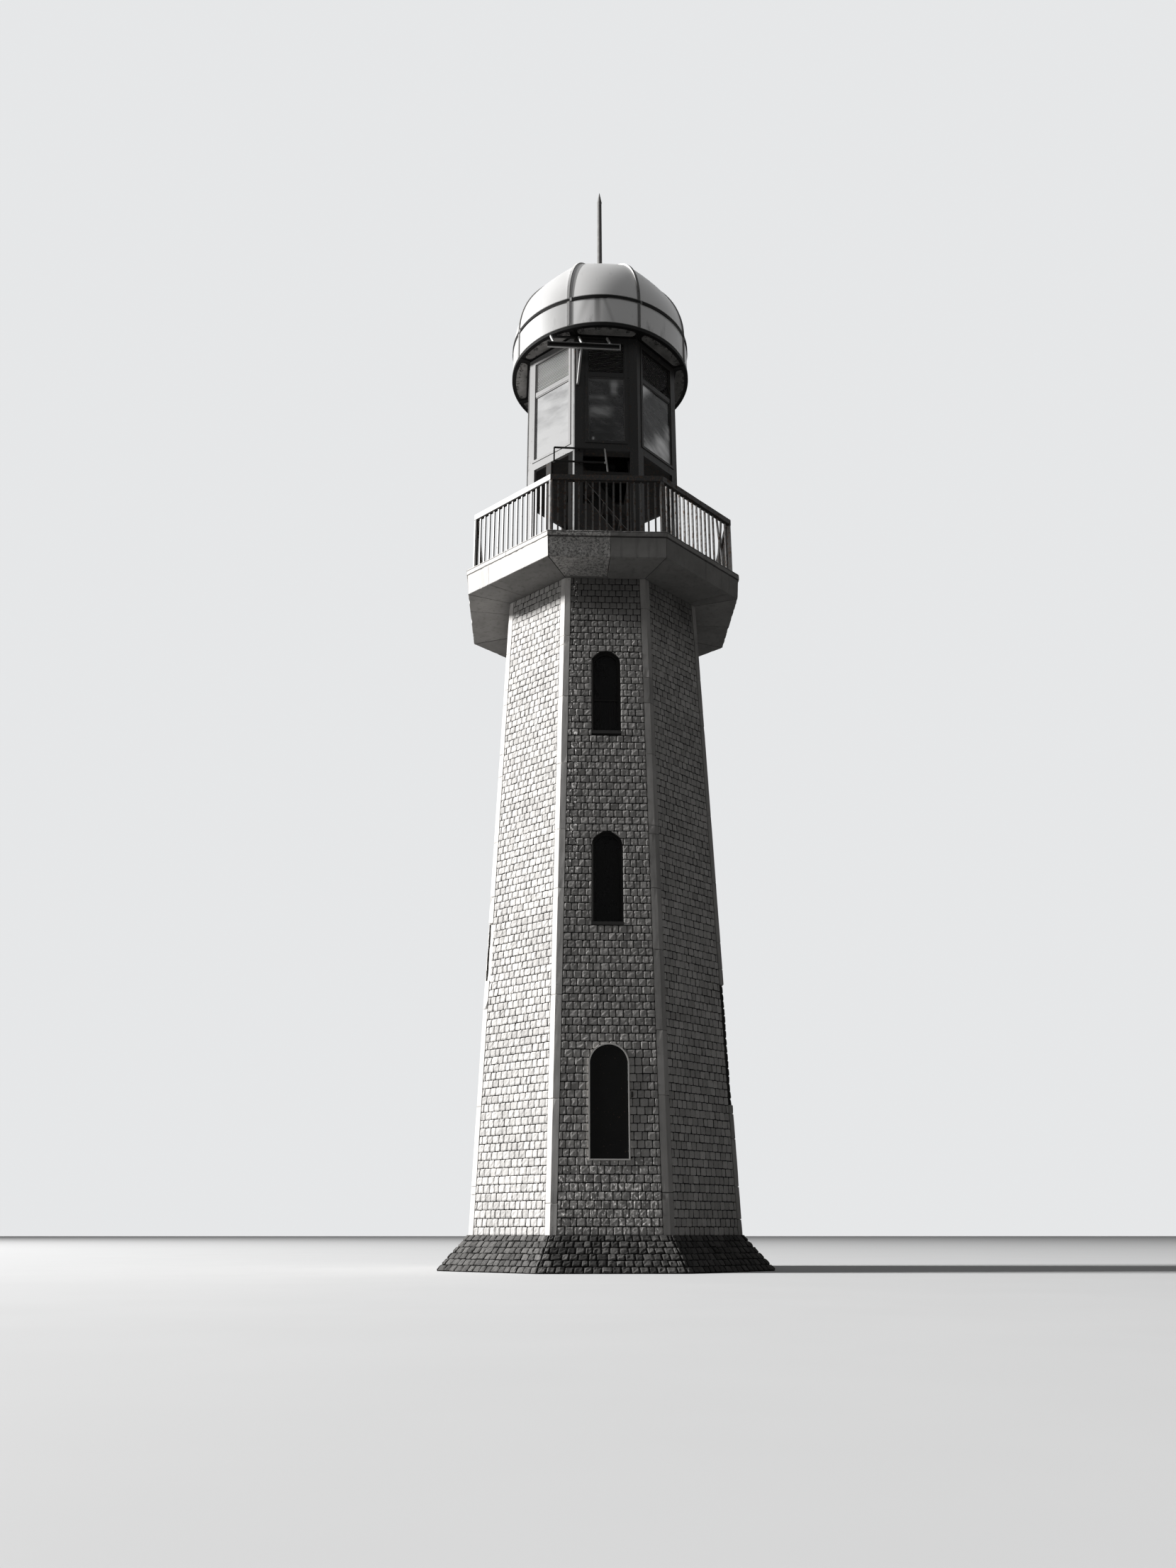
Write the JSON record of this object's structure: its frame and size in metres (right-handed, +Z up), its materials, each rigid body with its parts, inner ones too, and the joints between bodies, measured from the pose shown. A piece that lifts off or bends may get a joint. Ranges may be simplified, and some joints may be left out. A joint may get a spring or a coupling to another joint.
{
  "type": "lighthouse",
  "caption": "Eight-sided battered stone lighthouse on a sloping plinth, with arched windows, a railed oversailing balcony and a domed metal lantern with a spire.",
  "frame": {"origin": "centre of the base on the ground", "axes": "+Z up the tower, -Y out of the face with the windows, +X to the right of that face as seen from in front"},
  "size_m": [4.9242, 4.9242, 21.03],
  "materials": {
    "plinth_setts": "rough dark split-face setts, mortar joints",
    "tower_setts": "pale split-face setts, weathered, mortar joints",
    "dressed_stone": "smooth dressed stone, dirty joints",
    "balcony_stone": "weathered dressed stone with cracks and stains",
    "deck_stone": "worn screed",
    "surround_paint": "pale painted stone moulding",
    "plate_metal": "dark matt, blank",
    "window_paint": "dark matt paint",
    "sill_stone": "dark dressed stone",
    "window_glass": "dark dirty glass",
    "railing_paint": "pale paint, peeling and rusted",
    "lantern_paint": "pale satin paint, weathered",
    "dark_ironwork": "dark worn paint",
    "lantern_glass": "cloudy, streaked glass",
    "louvre_paint": "pale paint, dusty slats",
    "soffit_paint": "mottled grey paint with dark edges",
    "canopy_iron": "dark worn paint",
    "canopy_sheet": "pale translucent sheet, streaked",
    "spire_paint": "pale paint",
    "bracket_paint": "pale paint, rusted edges"
  },
  "bodies": {
    "root": {"back_left_railing": "railing_paint", "back_left_wall": "tower_setts", "back_railing": "railing_paint", "back_right_railing": "railing_paint", "back_right_wall": "tower_setts", "back_wall": "tower_setts", "balcony_coping": "balcony_stone", "balcony_deck": "deck_stone", "balcony_slab": "balcony_stone", "canopy_brackets": "canopy_iron", "canopy_ring": "canopy_iron", "canopy_soffit": "soffit_paint", "corner_strips": "dressed_stone", "cross_bar": "dark_ironwork", "dome_cap": "canopy_iron", "dome_gores": "canopy_sheet", "dome_ribs": "canopy_iron", "door_stiles": "lantern_paint", "finial": "spire_paint", "front_left_railing": "railing_paint", "front_left_wall": "tower_setts", "front_railing": "railing_paint", "front_right_railing": "railing_paint", "front_right_wall": "tower_setts", "front_wall": "tower_setts", "guard_hoop": "bracket_paint", "inscription_plate": "plate_metal", "lantern_bottom_rails": "lantern_paint", "lantern_floor": "dark_ironwork", "lantern_glass": "lantern_glass", "lantern_louvres": "louvre_paint", "lantern_posts": "lantern_paint", "lantern_top_rails": "lantern_paint", "lantern_transoms": "lantern_paint", "left_railing": "railing_paint", "left_wall": "tower_setts", "middle_floor": "deck_stone", "middle_ring": "canopy_iron", "middle_window_frame": "window_paint", "middle_window_glass": "window_glass", "plate_surround": "surround_paint", "plinth": "plinth_setts", "railing_posts": "railing_paint", "right_railing": "railing_paint", "right_wall": "tower_setts", "service_bracket": "bracket_paint", "side_post": "dark_ironwork", "skirt_ribs": "canopy_iron", "skirt_sheets": "canopy_sheet", "spire": "spire_paint", "spire_collar": "spire_paint", "stair_stringers": "dark_ironwork", "stair_treads": "dark_ironwork", "upper_floor": "deck_stone", "upper_window_frame": "window_paint", "upper_window_glass": "window_glass", "window_sills": "sill_stone"}
  },
  "joints": []
}
